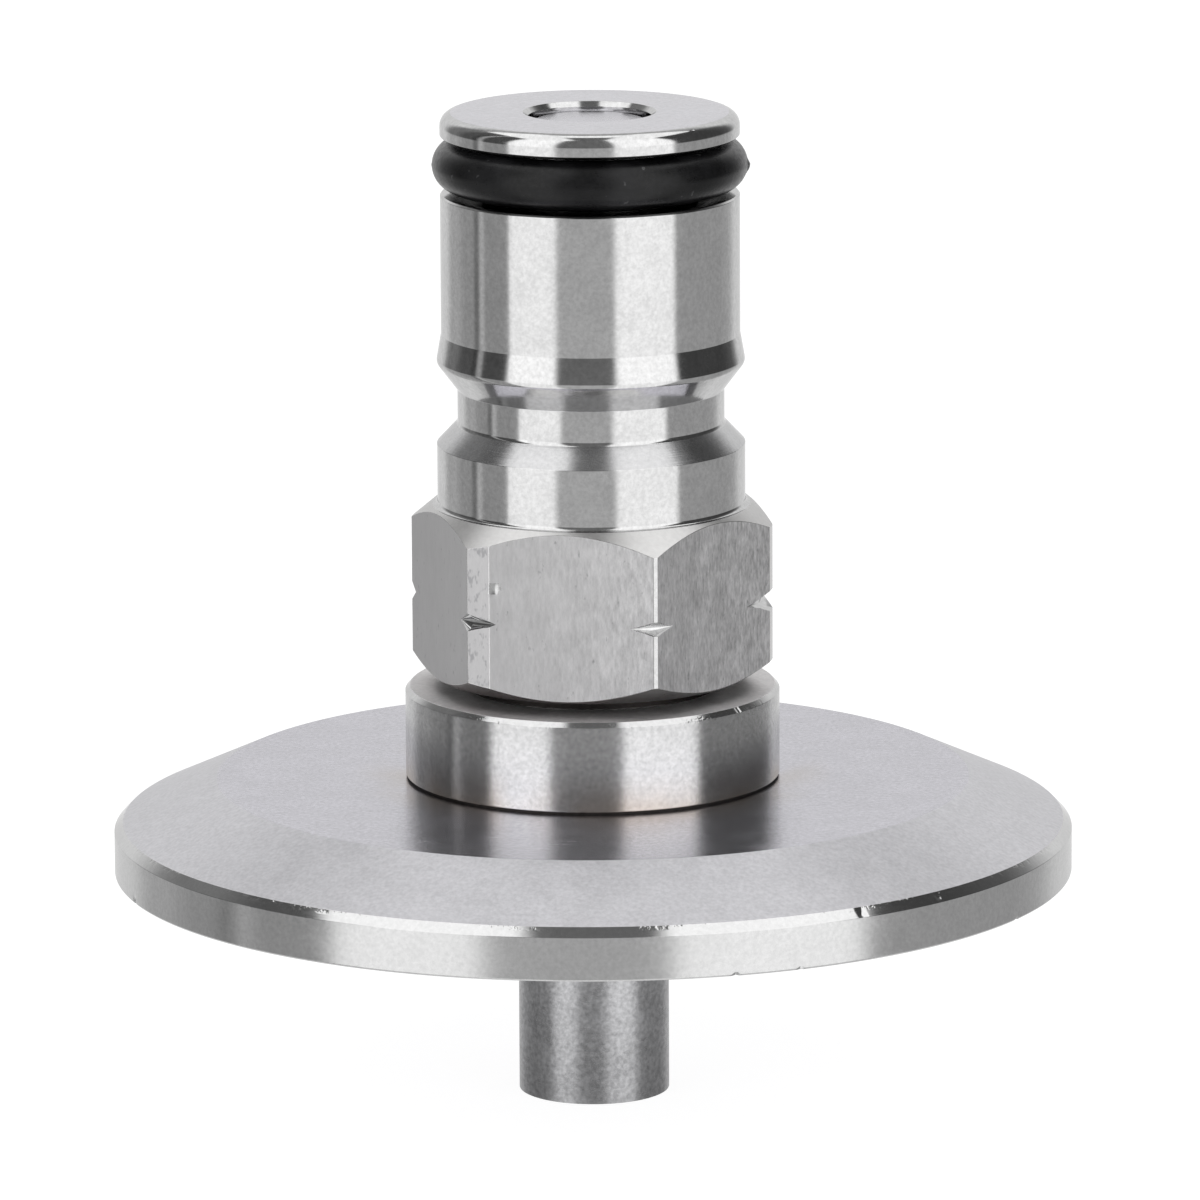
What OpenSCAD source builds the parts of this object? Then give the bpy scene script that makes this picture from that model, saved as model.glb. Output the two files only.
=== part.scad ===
// Sanitary clamp ferrule with a ball-lock gas post, its poppet valve and a short dip tube.
// The origin is the centre of the ferrule's sealing face, and +Z runs up the post.

/* [Ferrule] */
// Outside diameter of the clamp rim, the size that a 1.5 inch clamp closes on
rim_d = 50.5; // [48:0.1:53]
// Height of the rim's straight wall
rim_h = 2.28; // [1.6:0.02:2.8]
// Width and height of the bevel between the rim wall and the clamping cone
rim_bevel = 0.46; // [0.2:0.01:0.8]
// Slope of the clamping cone, from level
cone_angle = 24.4; // [18:0.2:30]
// Diameter of the flat top inside the cone
flat_d = 39.6; // [38:0.1:43]
// Broken edge round the sealing face
face_bevel = 0.2; // [0.05:0.05:0.5]
// Mean diameter of the gasket groove
gasket_groove_d = 43.5; // [42:0.1:44.5]
// Width of the gasket groove at the sealing face
gasket_groove_w = 3.4; // [2.6:0.1:4]
// Depth of the gasket groove
gasket_groove_depth = 1.5; // [1:0.05:1.7]

/* [Hub] */
// Diameter of the hub's ring
hub_d = 19.7; // [18.6:0.1:24]
// Height of the hub's ring above the ferrule's flat top
hub_h = 4.88; // [3:0.02:8]
// Bevel round the hub's top edge
hub_bevel = 0.25; // [0.1:0.05:0.6]
// Height of the fine undercut where the hub meets the ferrule
seam_h = 0.2; // [0.1:0.05:0.5]
// Depth of that undercut
seam_depth = 0.15; // [0.05:0.05:0.4]
// Diameter of the spigot that the hub is welded in by
spigot_d = 13; // [11:0.1:15]
// Outside diameter of the hub's thread
thread_d = 15.08; // [14.4:0.02:15.6]
// Depth of the relief under the thread
relief_depth = 0.9; // [0.5:0.05:1.2]
// Height of the relief under the thread
relief_h = 1.1; // [0.8:0.05:2]
// Bevel on the thread's first turn, and on the mouth of the post's socket
thread_bevel = 0.5; // [0.2:0.05:0.7]

/* [Post] */
// Gap between the hub's ring and the tightened post
post_gap = 0.7; // [0.3:0.05:1.5]
// Hexagon across flats
hex_af = 17; // [16.6:0.1:19]
// Diameter that the hexagon's corners are turned down to
hex_corner_d = 19.1; // [18.8:0.1:19.4]
// Height of the hexagon
hex_h = 9.05; // [8:0.05:12]
// Slope of the bevel under the hexagon, from level
hex_low_angle = 35; // [20:1:40]
// Slope of the bevel on top of the hexagon, from level
hex_top_angle = 40; // [20:1:45]
// How far inside the flats each of those bevels starts
hex_bevel_in = 0.15; // [0.05:0.05:0.3]
// Root diameter of the notch turned across the hexagon's corners
notch_root_d = 18.4; // [18:0.1:18.7]
// Height of that notch at the corners
notch_h = 1.1; // [0.6:0.05:1.6]
// Height of the middle of the notch above the hexagon's underside
notch_z = 4.1; // [3:0.05:5]
// Diameter of the collar above the hexagon
collar_d = 16.15; // [15.6:0.05:16.6]
// Height of the collar
collar_h = 3.2; // [2:0.05:5]
// Radius of the fillet at the foot of the collar, on the hexagon's top
collar_fillet_r = 0.22; // [0.05:0.01:0.25]
// Diameter of the neck, which the locking balls close round
neck_d = 13.98; // [13.2:0.02:14.6]
// Height of the neck's straight stretch
neck_h = 1.75; // [1:0.05:3]
// Height of the cone from the collar in to the neck
neck_in_h = 1.15; // [0.6:0.05:2]
// Height of the cone from the neck out to the flare
neck_out_h = 1.45; // [0.8:0.05:2.5]
// Diameter of the flare, the widest place above the neck
flare_d = 16.18; // [15.8:0.02:16.6]
// Radius of the flare's turned corner
flare_r = 0.45; // [0.1:0.05:0.6]
// Height of the cone from the flare in to the barrel
flare_h = 1.5; // [1:0.05:2.5]
// Diameter of the barrel
barrel_d = 15.65; // [15:0.01:15.8]
// Height of the barrel, from the flare's cone to the ring groove
barrel_h = 7.38; // [5:0.02:12]
// Width of the ring groove
groove_w = 3; // [2.8:0.05:4]
// Root diameter of the ring groove
groove_root_d = 11.26; // [11:0.02:11.8]
// Height of the lip above the ring groove
lip_h = 1.25; // [0.9:0.05:1.6]
// Radius of the lip's top edge
lip_r = 0.7; // [0.1:0.05:0.9]
// Broken edge at the groove's two corners
groove_bevel = 0.1; // [0.05:0.01:0.2]

/* [Post inside] */
// Depth of the threaded socket, from the hexagon's underside to the shoulder
socket_depth = 7.35; // [6.6:0.05:8]
// Diameter of the valve chamber
chamber_d = 9.6; // [9.2:0.05:9.8]
// Thickness of the top wall, whose underside is the valve seat
seat_wall = 2.1; // [1.6:0.05:3]
// Diameter of the hole in the top wall
mouth_d = 6.44; // [6.2:0.02:7]
// Bevel round that hole
mouth_bevel = 0.25; // [0.05:0.05:0.4]

/* [Post ring] */
// Thickness of the post's sealing ring
ring_w = 2.62; // [2.4:0.02:2.7]

/* [Dip tube] */
// Outside diameter of the tube
tube_d = 7.94; // [7.5:0.02:8.2]
// Wall of the tube
tube_wall = 0.89; // [0.6:0.01:1]
// How far the tube reaches below the sealing face
tube_reach = 12; // [6:0.5:60]
// Diameter of the tube's top flange
tube_flange_d = 12.4; // [11.8:0.1:13]
// Thickness of the tube's top flange
tube_flange_t = 1.2; // [0.8:0.05:2]
// Thickness of the squeezed ring under that flange
tube_ring_w = 1.5; // [1.2:0.05:1.7]
// Gap between the flange and the hub's thread end
flange_gap = 0.3; // [0.15:0.05:0.6]

/* [Poppet] */
// Diameter of the pin that fills the mouth of the post
pin_d = 5.9; // [5.2:0.02:6]
// How far the pin's top lies below the lip
pin_drop = 0.45; // [0:0.05:1]
// Radius of the pin's top edge
pin_r = 0.15; // [0.05:0.05:0.5]
// Diameter of the head that carries the seal
head_d = 8.6; // [8.4:0.05:8.7]
// Thickness of the head
head_t = 1; // [0.6:0.05:2]
// Diameter of the neck inside the seal
seal_neck_d = 4.8; // [4.2:0.05:5]
// Diameter of the seal
seal_d = 8.3; // [7.6:0.05:8.6]
// Thickness of the seal
seal_t = 1.5; // [1:0.05:2.5]
// Bevel round the seal's top edge
seal_bevel = 0.35; // [0.1:0.05:0.4]
// Diameter of the skirt inside the spring
skirt_d = 6.7; // [6.5:0.05:6.8]
// Bore of the skirt
skirt_bore_d = 4.6; // [4:0.05:5]
// Depth of the skirt's bore
skirt_bore_depth = 8; // [4:0.5:10]
// Width of each gas slot across the skirt's foot
slot_w = 1.4; // [0.8:0.05:2]
// Height of the gas slots
slot_h = 3; // [2:0.1:6]
// Travel of the poppet, from shut until its foot meets the dip tube's flange
travel = 3.5; // [2:0.1:5]

/* [Spring] */
// Diameter of the spring's wire
wire_d = 0.6; // [0.4:0.05:0.7]
// Diameter of the spring at the middle of its wire
coil_d = 7.8; // [7.6:0.05:7.9]
// Number of turns, with one closed turn at each end
coil_turns = 8; // [6:1:10]

/* [Fits] */
// Radial clearance of the hub's spigot in the ferrule
weld_clear = 0.02; // [0.01:0.01:0.05]
// Radial clearance of the thread
thread_clear = 0.05; // [0.02:0.01:0.1]
// Radial clearance of the dip tube in the hub
tube_clear = 0.25; // [0.1:0.05:0.4]
// Radial clearance of each soft ring in its seat
ring_clear = 0.05; // [0.02:0.01:0.1]

/* [Hidden] */
$fn = 96;

// Cuts run this far past the face that they open
past = 1;
// Sides of the spring's wire, and rings of points in each of its turns
wire_sides = 8;
turn_rings = 20;
// Gap between neighbouring turns at the spring's closed ends
closed_gap = 0.03;

// Ferrule, from the sealing face up
rim_r = rim_d / 2;
cone_r = rim_r - rim_bevel;
flat_z = rim_h + rim_bevel + (cone_r - flat_d / 2) * tan(cone_angle);
groove_arc_r = (pow(gasket_groove_w / 2, 2) + pow(gasket_groove_depth, 2)) / (2 * gasket_groove_depth);

// Heights up the hub and the post
hub_z = flat_z + hub_h;
post_z = hub_z + post_gap;
shoulder_z = post_z + socket_depth;
collar_z = post_z + hex_h;
neck_in_z = collar_z + collar_h;
neck_z = neck_in_z + neck_in_h;
neck_out_z = neck_z + neck_h;
flare_z = neck_out_z + neck_out_h;
barrel_z = flare_z + flare_h;
groove_z = barrel_z + barrel_h;
lip_z = groove_z + groove_w;
top_z = lip_z + lip_h;
seat_z = top_z - seat_wall;
groove_mid_z = groove_z + groove_w / 2;

// Dip tube and its ring, which the post clamps on the hub's thread end
tube_flange_z = shoulder_z - tube_flange_t;
thread_end_z = tube_flange_z - flange_gap;
tube_ring_seat_z = tube_flange_z - tube_ring_w;
tube_r = tube_d / 2;
tube_ring_mid_r = tube_r + ring_clear + tube_ring_w / 2;
tube_ring_seat_r = tube_ring_mid_r + tube_ring_w / 2 + ring_clear;
tube_hole_r = tube_r + tube_clear;

// Poppet, shut against the seat
head_z = seat_z - seal_t - head_t;
skirt_foot_z = shoulder_z + travel;
seal_bore_d = seal_neck_d + 2 * ring_clear;

// Spring, from the dip tube's flange up to the poppet's head
coil_rise = head_z - shoulder_z - wire_d;
closed_pitch = wire_d + closed_gap;
open_pitch = (coil_rise - 2 * closed_pitch) / (coil_turns - 2);

// Rise of the wire after u turns: closed, then open, then closed again
function coil_z(u) =
    u < 1 ? u * closed_pitch
    : u > coil_turns - 1 ? coil_rise - (coil_turns - u) * closed_pitch
    : closed_pitch + (u - 1) * open_pitch;

// A point on the wire's surface, at turn u and angle b round the wire
function wire_point(u, b) =
    let (r = coil_d / 2 + wire_d / 2 * cos(b))
    [r * cos(360 * u), r * sin(360 * u), coil_z(u) + wire_d / 2 * sin(b)];

// Area that a convex corner loses when it is rounded, with the corner at the origin
module corner_loss(r) {
    difference() {
        translate([-r, -r]) square(r + past);
        translate([-r, -r]) circle(r);
    }
}

// Area that a fillet fills in a concave corner, with the corner at the origin
module corner_fill(r) {
    difference() {
        translate([-past, -past]) square(r + past);
        translate([r, r]) circle(r);
    }
}

// Area that the flare's corner loses when it is rounded between the cones below and above it
module flare_loss() {
    low_angle = 360 + atan2(neck_out_z - flare_z, (neck_d - flare_d) / 2);
    top_angle = atan2(barrel_z - flare_z, (barrel_d - flare_d) / 2);
    middle = (low_angle + top_angle) / 2;
    inset = flare_r / sin((low_angle - top_angle) / 2);
    corner = [flare_d / 2, flare_z];
    centre = corner + inset * [cos(middle), sin(middle)];
    difference() {
        polygon([
            centre,
            centre + 2 * flare_r * [cos(low_angle + 90), sin(low_angle + 90)],
            centre + 2 * (corner - centre),
            centre + 2 * flare_r * [cos(top_angle - 90), sin(top_angle - 90)]
        ]);
        translate(centre) circle(flare_r);
    }
}

module clamp_ferrule() {
    color("gainsboro")
    rotate_extrude()
    difference() {
        polygon([
            [spigot_d / 2 + weld_clear, 0],
            [rim_r - face_bevel, 0],
            [rim_r, face_bevel],
            [rim_r, rim_h],
            [cone_r, rim_h + rim_bevel],
            [flat_d / 2, flat_z],
            [spigot_d / 2 + weld_clear, flat_z]
        ]);
        translate([gasket_groove_d / 2, gasket_groove_depth - groove_arc_r]) circle(groove_arc_r);
    }
}

module threaded_hub() {
    thread_r = thread_d / 2 - thread_clear;
    relief_r = thread_d / 2 - relief_depth;
    color("silver")
    rotate_extrude()
    polygon([
        [tube_hole_r, 0],
        [spigot_d / 2, 0],
        [spigot_d / 2, flat_z],
        [hub_d / 2 - seam_depth, flat_z],
        [hub_d / 2 - seam_depth, flat_z + seam_h],
        [hub_d / 2, flat_z + seam_h],
        [hub_d / 2, hub_z - hub_bevel],
        [hub_d / 2 - hub_bevel, hub_z],
        [relief_r, hub_z],
        [relief_r, hub_z + relief_h],
        [thread_r, hub_z + relief_h + relief_depth / 2],
        [thread_r, thread_end_z - thread_bevel],
        [thread_r - thread_bevel, thread_end_z],
        [tube_ring_seat_r, thread_end_z],
        [tube_ring_seat_r, tube_ring_seat_z],
        [tube_hole_r, tube_ring_seat_z]
    ]);
}

// Hexagon with turned-down corners, bevelled ends and the notch across its corners
module post_hexagon() {
    corner_r = hex_corner_d / 2;
    bevel_r = hex_af / 2 - hex_bevel_in;
    low_bevel_h = (corner_r - bevel_r) * tan(hex_low_angle);
    top_bevel_h = (corner_r - bevel_r) * tan(hex_top_angle);
    intersection() {
        translate([0, 0, post_z]) cylinder(h = hex_h, d = hex_af / cos(30), $fn = 6);
        rotate_extrude()
        polygon([
            [0, post_z],
            [bevel_r, post_z],
            [corner_r, post_z + low_bevel_h],
            [corner_r, post_z + notch_z - notch_h / 2],
            [notch_root_d / 2, post_z + notch_z],
            [corner_r, post_z + notch_z + notch_h / 2],
            [corner_r, collar_z - top_bevel_h],
            [bevel_r, collar_z],
            [0, collar_z]
        ]);
    }
}

// Turned outside of the post above the hexagon
module post_turning() {
    barrel_r = barrel_d / 2;
    rotate_extrude()
    difference() {
        polygon([
            [0, collar_z - past],
            [collar_d / 2, collar_z - past],
            [collar_d / 2, neck_in_z],
            [neck_d / 2, neck_z],
            [neck_d / 2, neck_out_z],
            [flare_d / 2, flare_z],
            [barrel_r, barrel_z],
            [barrel_r, groove_z - groove_bevel],
            [barrel_r - groove_bevel, groove_z],
            [groove_root_d / 2, groove_z],
            [groove_root_d / 2, lip_z],
            [barrel_r - groove_bevel, lip_z],
            [barrel_r, lip_z + groove_bevel],
            [barrel_r, top_z],
            [0, top_z]
        ]);
        translate([barrel_r, top_z]) corner_loss(lip_r);
        flare_loss();
    }
    rotate_extrude() translate([collar_d / 2, collar_z]) corner_fill(collar_fillet_r);
}

// Socket, valve chamber and mouth, cut from the post as one turned form
module post_bore() {
    socket_r = thread_d / 2;
    rotate_extrude()
    polygon([
        [0, post_z - past],
        [socket_r + thread_bevel + past, post_z - past],
        [socket_r + thread_bevel, post_z],
        [socket_r, post_z + thread_bevel],
        [socket_r, shoulder_z],
        [chamber_d / 2, shoulder_z],
        [chamber_d / 2, seat_z],
        [mouth_d / 2, seat_z],
        [mouth_d / 2, top_z - mouth_bevel],
        [mouth_d / 2 + mouth_bevel, top_z],
        [mouth_d / 2 + mouth_bevel, top_z + past],
        [0, top_z + past]
    ]);
}

module ball_lock_post() {
    color("lightgray")
    difference() {
        union() {
            post_hexagon();
            post_turning();
        }
        post_bore();
    }
}

module post_o_ring() {
    color([0.12, 0.12, 0.13])
    translate([0, 0, groove_mid_z])
    rotate_extrude()
    translate([groove_root_d / 2 + ring_w / 2, 0]) circle(d = ring_w);
}

module poppet() {
    pin_top_z = top_z - pin_drop;
    color("whitesmoke")
    difference() {
        rotate_extrude()
        difference() {
            polygon([
                [0, skirt_foot_z],
                [skirt_d / 2, skirt_foot_z],
                [skirt_d / 2, head_z],
                [head_d / 2, head_z],
                [head_d / 2, head_z + head_t],
                [seal_neck_d / 2, head_z + head_t],
                [seal_neck_d / 2, seat_z],
                [pin_d / 2, seat_z],
                [pin_d / 2, pin_top_z],
                [0, pin_top_z]
            ]);
            translate([pin_d / 2, pin_top_z]) corner_loss(pin_r);
        }
        translate([0, 0, skirt_foot_z - past]) cylinder(h = skirt_bore_depth + past, d = skirt_bore_d);
        for (turn = [0, 90])
            rotate([0, 0, turn])
            translate([-skirt_d, -slot_w / 2, skirt_foot_z - past])
            cube([2 * skirt_d, slot_w, slot_h + past]);
    }
}

module poppet_seal() {
    color([0.16, 0.15, 0.15])
    rotate_extrude()
    polygon([
        [seal_bore_d / 2, seat_z - seal_t],
        [seal_d / 2, seat_z - seal_t],
        [seal_d / 2, seat_z - seal_bevel],
        [seal_d / 2 - seal_bevel, seat_z],
        [seal_bore_d / 2, seat_z]
    ]);
}

module poppet_spring() {
    rings = coil_turns * turn_rings;
    points = [
        for (i = [0 : rings], j = [0 : wire_sides - 1])
            wire_point(i / turn_rings, 360 * j / wire_sides)
    ];
    sides = [
        for (i = [0 : rings - 1], j = [0 : wire_sides - 1])
            let (a = i * wire_sides + j, b = i * wire_sides + (j + 1) % wire_sides)
            each [[a, b, a + wire_sides], [b, b + wire_sides, a + wire_sides]]
    ];
    start = [for (j = [wire_sides - 1 : -1 : 0]) j];
    end = [for (j = [0 : wire_sides - 1]) rings * wire_sides + j];
    color("darkgray")
    translate([0, 0, shoulder_z + wire_d / 2])
    polyhedron(points, concat(sides, [start, end]), convexity = 10);
}

module dip_tube() {
    color("lightslategray")
    rotate_extrude()
    polygon([
        [tube_r - tube_wall, -tube_reach],
        [tube_r, -tube_reach],
        [tube_r, tube_flange_z],
        [tube_flange_d / 2, tube_flange_z],
        [tube_flange_d / 2, shoulder_z],
        [tube_r - tube_wall, shoulder_z]
    ]);
}

module dip_tube_o_ring() {
    color([0.14, 0.14, 0.15])
    translate([0, 0, tube_flange_z - tube_ring_w / 2])
    rotate_extrude()
    translate([tube_ring_mid_r, 0]) circle(d = tube_ring_w);
}

clamp_ferrule();
threaded_hub();
ball_lock_post();
post_o_ring();
poppet();
poppet_seal();
poppet_spring();
dip_tube();
dip_tube_o_ring();
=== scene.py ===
"""Looks of the sanitary clamp ferrule with its ball-lock gas post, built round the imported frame.

Lengths are in millimetres until a mesh is made. Angles round the post are in degrees:
0 faces -Y and 90 faces +X.
"""

import math

import bmesh
import bpy
import numpy as np
from mathutils import Matrix, Vector


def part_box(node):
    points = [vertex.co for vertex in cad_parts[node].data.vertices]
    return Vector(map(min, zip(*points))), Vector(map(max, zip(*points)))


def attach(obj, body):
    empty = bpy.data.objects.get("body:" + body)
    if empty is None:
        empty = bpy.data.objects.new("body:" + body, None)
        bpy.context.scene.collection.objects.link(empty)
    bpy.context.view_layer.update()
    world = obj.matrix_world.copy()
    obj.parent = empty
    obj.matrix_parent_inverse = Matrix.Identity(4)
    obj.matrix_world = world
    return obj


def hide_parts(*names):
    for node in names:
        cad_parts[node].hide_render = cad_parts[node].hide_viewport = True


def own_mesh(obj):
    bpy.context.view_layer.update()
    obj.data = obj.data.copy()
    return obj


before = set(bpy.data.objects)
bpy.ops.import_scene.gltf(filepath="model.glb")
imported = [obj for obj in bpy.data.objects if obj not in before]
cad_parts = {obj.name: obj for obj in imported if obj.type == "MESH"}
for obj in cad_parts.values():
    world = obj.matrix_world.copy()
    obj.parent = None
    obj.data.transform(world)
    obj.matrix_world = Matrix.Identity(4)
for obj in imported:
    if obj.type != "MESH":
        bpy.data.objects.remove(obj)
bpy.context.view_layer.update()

MM = 0.001

# Camera as fitted to the photograph, at a chosen distance, because the fit hardly tells it
PHOTO_PX = 1200
CAMERA_AZIMUTH = 10.3
CAMERA_ELEVATION = 11.91
CAMERA_DISTANCE = 520.0
CAMERA_AIM_Z = 14.337
CAMERA_FOCAL_PX = 9895.6
CAMERA_ROLL = 0.29
AXIS_PX = 592.0
SENSOR_MM = 36.0
CLIP = (0.01, 20)


def low(node):
    return np.array(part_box(node)[0]) / MM


def high(node):
    return np.array(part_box(node)[1]) / MM


# Heights and radii that the frame gives
rim_r = high("clamp_ferrule")[0]
flat_z = high("clamp_ferrule")[2]
hub_r = high("threaded_hub")[0]
thread_end_z = high("threaded_hub")[2]
post_z = low("ball_lock_post")[2]
top_z = high("ball_lock_post")[2]
hex_half = high("ball_lock_post")[1]
corner_r = high("ball_lock_post")[0]
ring_z = (low("post_o_ring")[2] + high("post_o_ring")[2]) / 2
ring_thick = high("post_o_ring")[2] - low("post_o_ring")[2]
ring_mid_r = high("post_o_ring")[0] - ring_thick / 2
tube_low_z = low("dip_tube")[2]
tube_flange_r = high("dip_tube")[0]
shoulder_z = high("dip_tube")[2]
spring_top_z = high("poppet_spring")[2]
spring_r = high("poppet_spring")[0]

# Sizes that the frame's boxes don't show, with the values of the part's source
RIM_H = 2.28
RIM_BEVEL = 0.46
FLAT_R = 19.8
GASKET_GROOVE_R = 21.75
GASKET_GROOVE_W = 3.4
GASKET_GROOVE_DEPTH = 1.5
SPIGOT_R = 6.5
WELD_CLEAR = 0.02
HUB_H = 4.88
HUB_BEVEL = 0.25
SEAM_DEPTH = 0.15
THREAD_R = 7.54
THREAD_CLEAR = 0.05
THREAD_BEVEL = 0.5
RELIEF_R = 6.64
RELIEF_H = 1.1
TUBE_R = 3.97
TUBE_WALL = 0.89
TUBE_HOLE_R = 4.22
TUBE_FLANGE_T = 1.2
TUBE_RING_SEAT_R = 5.57
TUBE_RING_SEAT_H = 1.2
HEX_H = 9.05
HEX_LOW_SLOPE = math.tan(math.radians(35))
HEX_TOP_SLOPE = math.tan(math.radians(40))
HEX_BEVEL_IN = 0.15
NOTCH_Z = 4.1
NOTCH_H = 1.1
NOTCH_ROOT_R = 9.2
# The stock ran off centre: corner azimuths with their own turned radius, notch root and notch slope
TURNED_CORNERS = {30: 9.75, -30: 9.9}
NOTCH_ROOTS = {90: 8.85, -90: 9.28}
NOTCH_SLOPES = {30: 0.68, -30: 1.1, 90: 0.75, -90: 1.8}
# One worn corner is a narrow face: its azimuth and its distance from the axis
WORN_FACE = (-15, 9.213)
# Degrees on each side of it within which it may cut the hexagon
WORN_REACH = 45
COLLAR_R = 8.075
COLLAR_H = 3.2
NECK_R = 6.99
NECK_H = 1.75
NECK_IN_H = 1.15
NECK_OUT_H = 1.45
FLARE_R = 8.09
FLARE_H = 1.5
FLARE_CORNER = 0.45
BARREL_R = 7.825
BARREL_H = 7.38
GROOVE_W = 3.0
GROOVE_ROOT_R = 5.63
GROOVE_BEVEL = 0.1
LIP_CORNER = 0.7
CHAMBER_R = 4.8
SEAT_WALL = 2.1
MOUTH_R = 3.22
MOUTH_BEVEL = 0.25
WIRE_R = 0.3
COIL_TURNS = 8
CLOSED_PITCH = 0.63
# Broken edge round the sealing face and height of the seam under the hub, which are both 0.2 in the source
FACE_BEVEL = 0.1
SEAM_H = 0.13
# Fillets where the collar and the neck start. The source has 0.22 at the collar and none at the neck.
COLLAR_FILLET = 0.32
NECK_FILLET = 0.3
# The thread's turns, which the source leaves plain. Flank and root shape a turn's section, the run is how fast
# the thread deepens from its start and fades to its end, and the end depth is the share left there.
THREAD_PITCH = 1.411
THREAD_DEPTH = 0.75
THREAD_FLANK = 1.25
THREAD_ROOT = 0.12
THREAD_RUN = 3
THREAD_END_DEPTH = 0.4
THREAD_START = 0.45
# Depth under the lip from which the mouth's wall is painted near black as painted shade
MOUTH_PAINTED_SHADE_DEPTH = 1.0
# The line that the mould leaves on the sealing ring
FLASH = 0.018
FLASH_SHARPNESS = 12

# Rows of points that only give marks something to press: on the rim up from the sealing face and down from
# the bevel, on the cone inwards from the bevel, and on the hub down from its bevel
RIM_ROWS_UP = (0.4, 0.65)
RIM_ROWS_DOWN = (0.45, 0.25)
CONE_ROWS = (0.2, 0.45)
HUB_ROWS = (0.6, 0.25)
# The same on the hexagon's flats: heights over the post's foot, and the step between them
DENT_ROWS = (5.3, 6.7, 0.2)

hub_z = flat_z + HUB_H
collar_z = post_z + HEX_H
neck_in_z = collar_z + COLLAR_H
neck_z = neck_in_z + NECK_IN_H
neck_out_z = neck_z + NECK_H
flare_z = neck_out_z + NECK_OUT_H
barrel_z = flare_z + FLARE_H
groove_z = barrel_z + BARREL_H
lip_z = groove_z + GROOVE_W
seat_z = top_z - SEAT_WALL

# How finely edges are rounded: a sharp turned edge still has a hair of radius
EDGE = 0.04
SOFT_EDGE = 0.09
ARC_STEPS = 8
# Rows across the notch, from its lower edge at -1 to its upper edge at 1
NOTCH_STEPS = (-1, -0.92, -0.7, -0.35, 0, 0.35, 0.7, 0.92, 1)
# Columns of points round the axis
PLATE_COLUMNS = 1440
HUB_COLUMNS = 720
POST_COLUMNS = 1800
RING_COLUMNS = 720
TUBE_COLUMNS = 360
# The post keeps all its columns within these degrees of a hexagon corner, and elsewhere one in so many
CROWDED_WITHIN = 8.1
PLAIN_EVERY = 4
# Degrees between the points of the sealing ring's section
RING_STEP = 6
THREAD_ROWS_PER_TURN = 10
COIL_STEPS_PER_TURN = 48
WIRE_SIDES = 14
GASKET_GROOVE_STEPS = 12
# Faces that meet at more than this many degrees keep a crease
CREASE = 26
# The most of a side that one corner's rounding may take
MOST_REACH = 0.85


def rounded(corners, columns):
    """Points of a closed outline whose corners are rounded, as two arrays of rows by columns.

    A corner is (r, z, radius of the rounding, steps of the arc); r and z may differ from column to column.
    """
    spread = np.ones(columns)
    points = [np.stack([r * spread, z * spread]) for r, z, _, _ in corners]
    rows = []
    for i, (_, _, radius, steps) in enumerate(corners):
        here, before, after = points[i], points[i - 1], points[(i + 1) % len(points)]
        if radius == 0:
            rows.append(here)
            continue
        back, ahead = before - here, after - here
        back_len = np.maximum(np.hypot(*back), 1e-9)
        ahead_len = np.maximum(np.hypot(*ahead), 1e-9)
        back, ahead = back / back_len, ahead / ahead_len
        half = np.arccos(np.clip((back * ahead).sum(0), -1, 1)) / 2
        most = MOST_REACH * np.minimum(back_len, ahead_len)
        reach = np.minimum(radius / np.maximum(np.tan(half), 1e-6), most)
        start, end = here + back * reach, here + ahead * reach
        arc_r = reach * np.tan(half)
        inward = back + ahead
        inward = inward / np.maximum(np.hypot(*inward), 1e-9)
        centre = here + inward * arc_r / np.maximum(np.sin(half), 1e-6)
        a0 = np.arctan2(*(start - centre)[::-1])
        a1 = np.arctan2(*(end - centre)[::-1])
        sweep = (a1 - a0 + math.pi) % (2 * math.pi) - math.pi
        for step in range(steps + 1):
            a = a0 + sweep * step / steps
            rows.append(centre + arc_r * np.stack([np.cos(a), np.sin(a)]))
    return np.array([p[0] for p in rows]), np.array([p[1] for p in rows])


def crisp_normals(data):
    """Corner normals that follow the larger faces, and that stay apart where faces meet at an angle."""
    corners, faces = len(data.loops), len(data.polygons)
    vertex, count = np.zeros(corners, np.int64), np.zeros(faces, np.int64)
    normal, area = np.zeros(3 * faces), np.zeros(faces)
    data.loops.foreach_get("vertex_index", vertex)
    data.polygons.foreach_get("loop_total", count)
    data.polygons.foreach_get("normal", normal)
    data.polygons.foreach_get("area", area)
    normal = normal.reshape(-1, 3)
    face = np.repeat(np.arange(faces), count)
    order = np.argsort(vertex, kind="stable")
    sorted_vertex = vertex[order]
    start = np.searchsorted(sorted_vertex, np.arange(len(data.vertices)))
    place = np.arange(corners) - start[sorted_vertex]
    round_vertex = np.full((len(data.vertices), place.max() + 1), -1)
    round_vertex[sorted_vertex, place] = face[order]
    near = round_vertex[vertex]
    aligned = (normal[near] * normal[face][:, None, :]).sum(-1) > math.cos(math.radians(CREASE))
    weight = np.where((near >= 0) & aligned, (area[near] / area.max()) ** 2 + 1e-15, 0)
    summed = (normal[near] * weight[..., None]).sum(1)
    summed /= np.maximum(np.linalg.norm(summed, axis=1, keepdims=True), 1e-12)
    data.normals_split_custom_set(summed.tolist())


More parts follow.
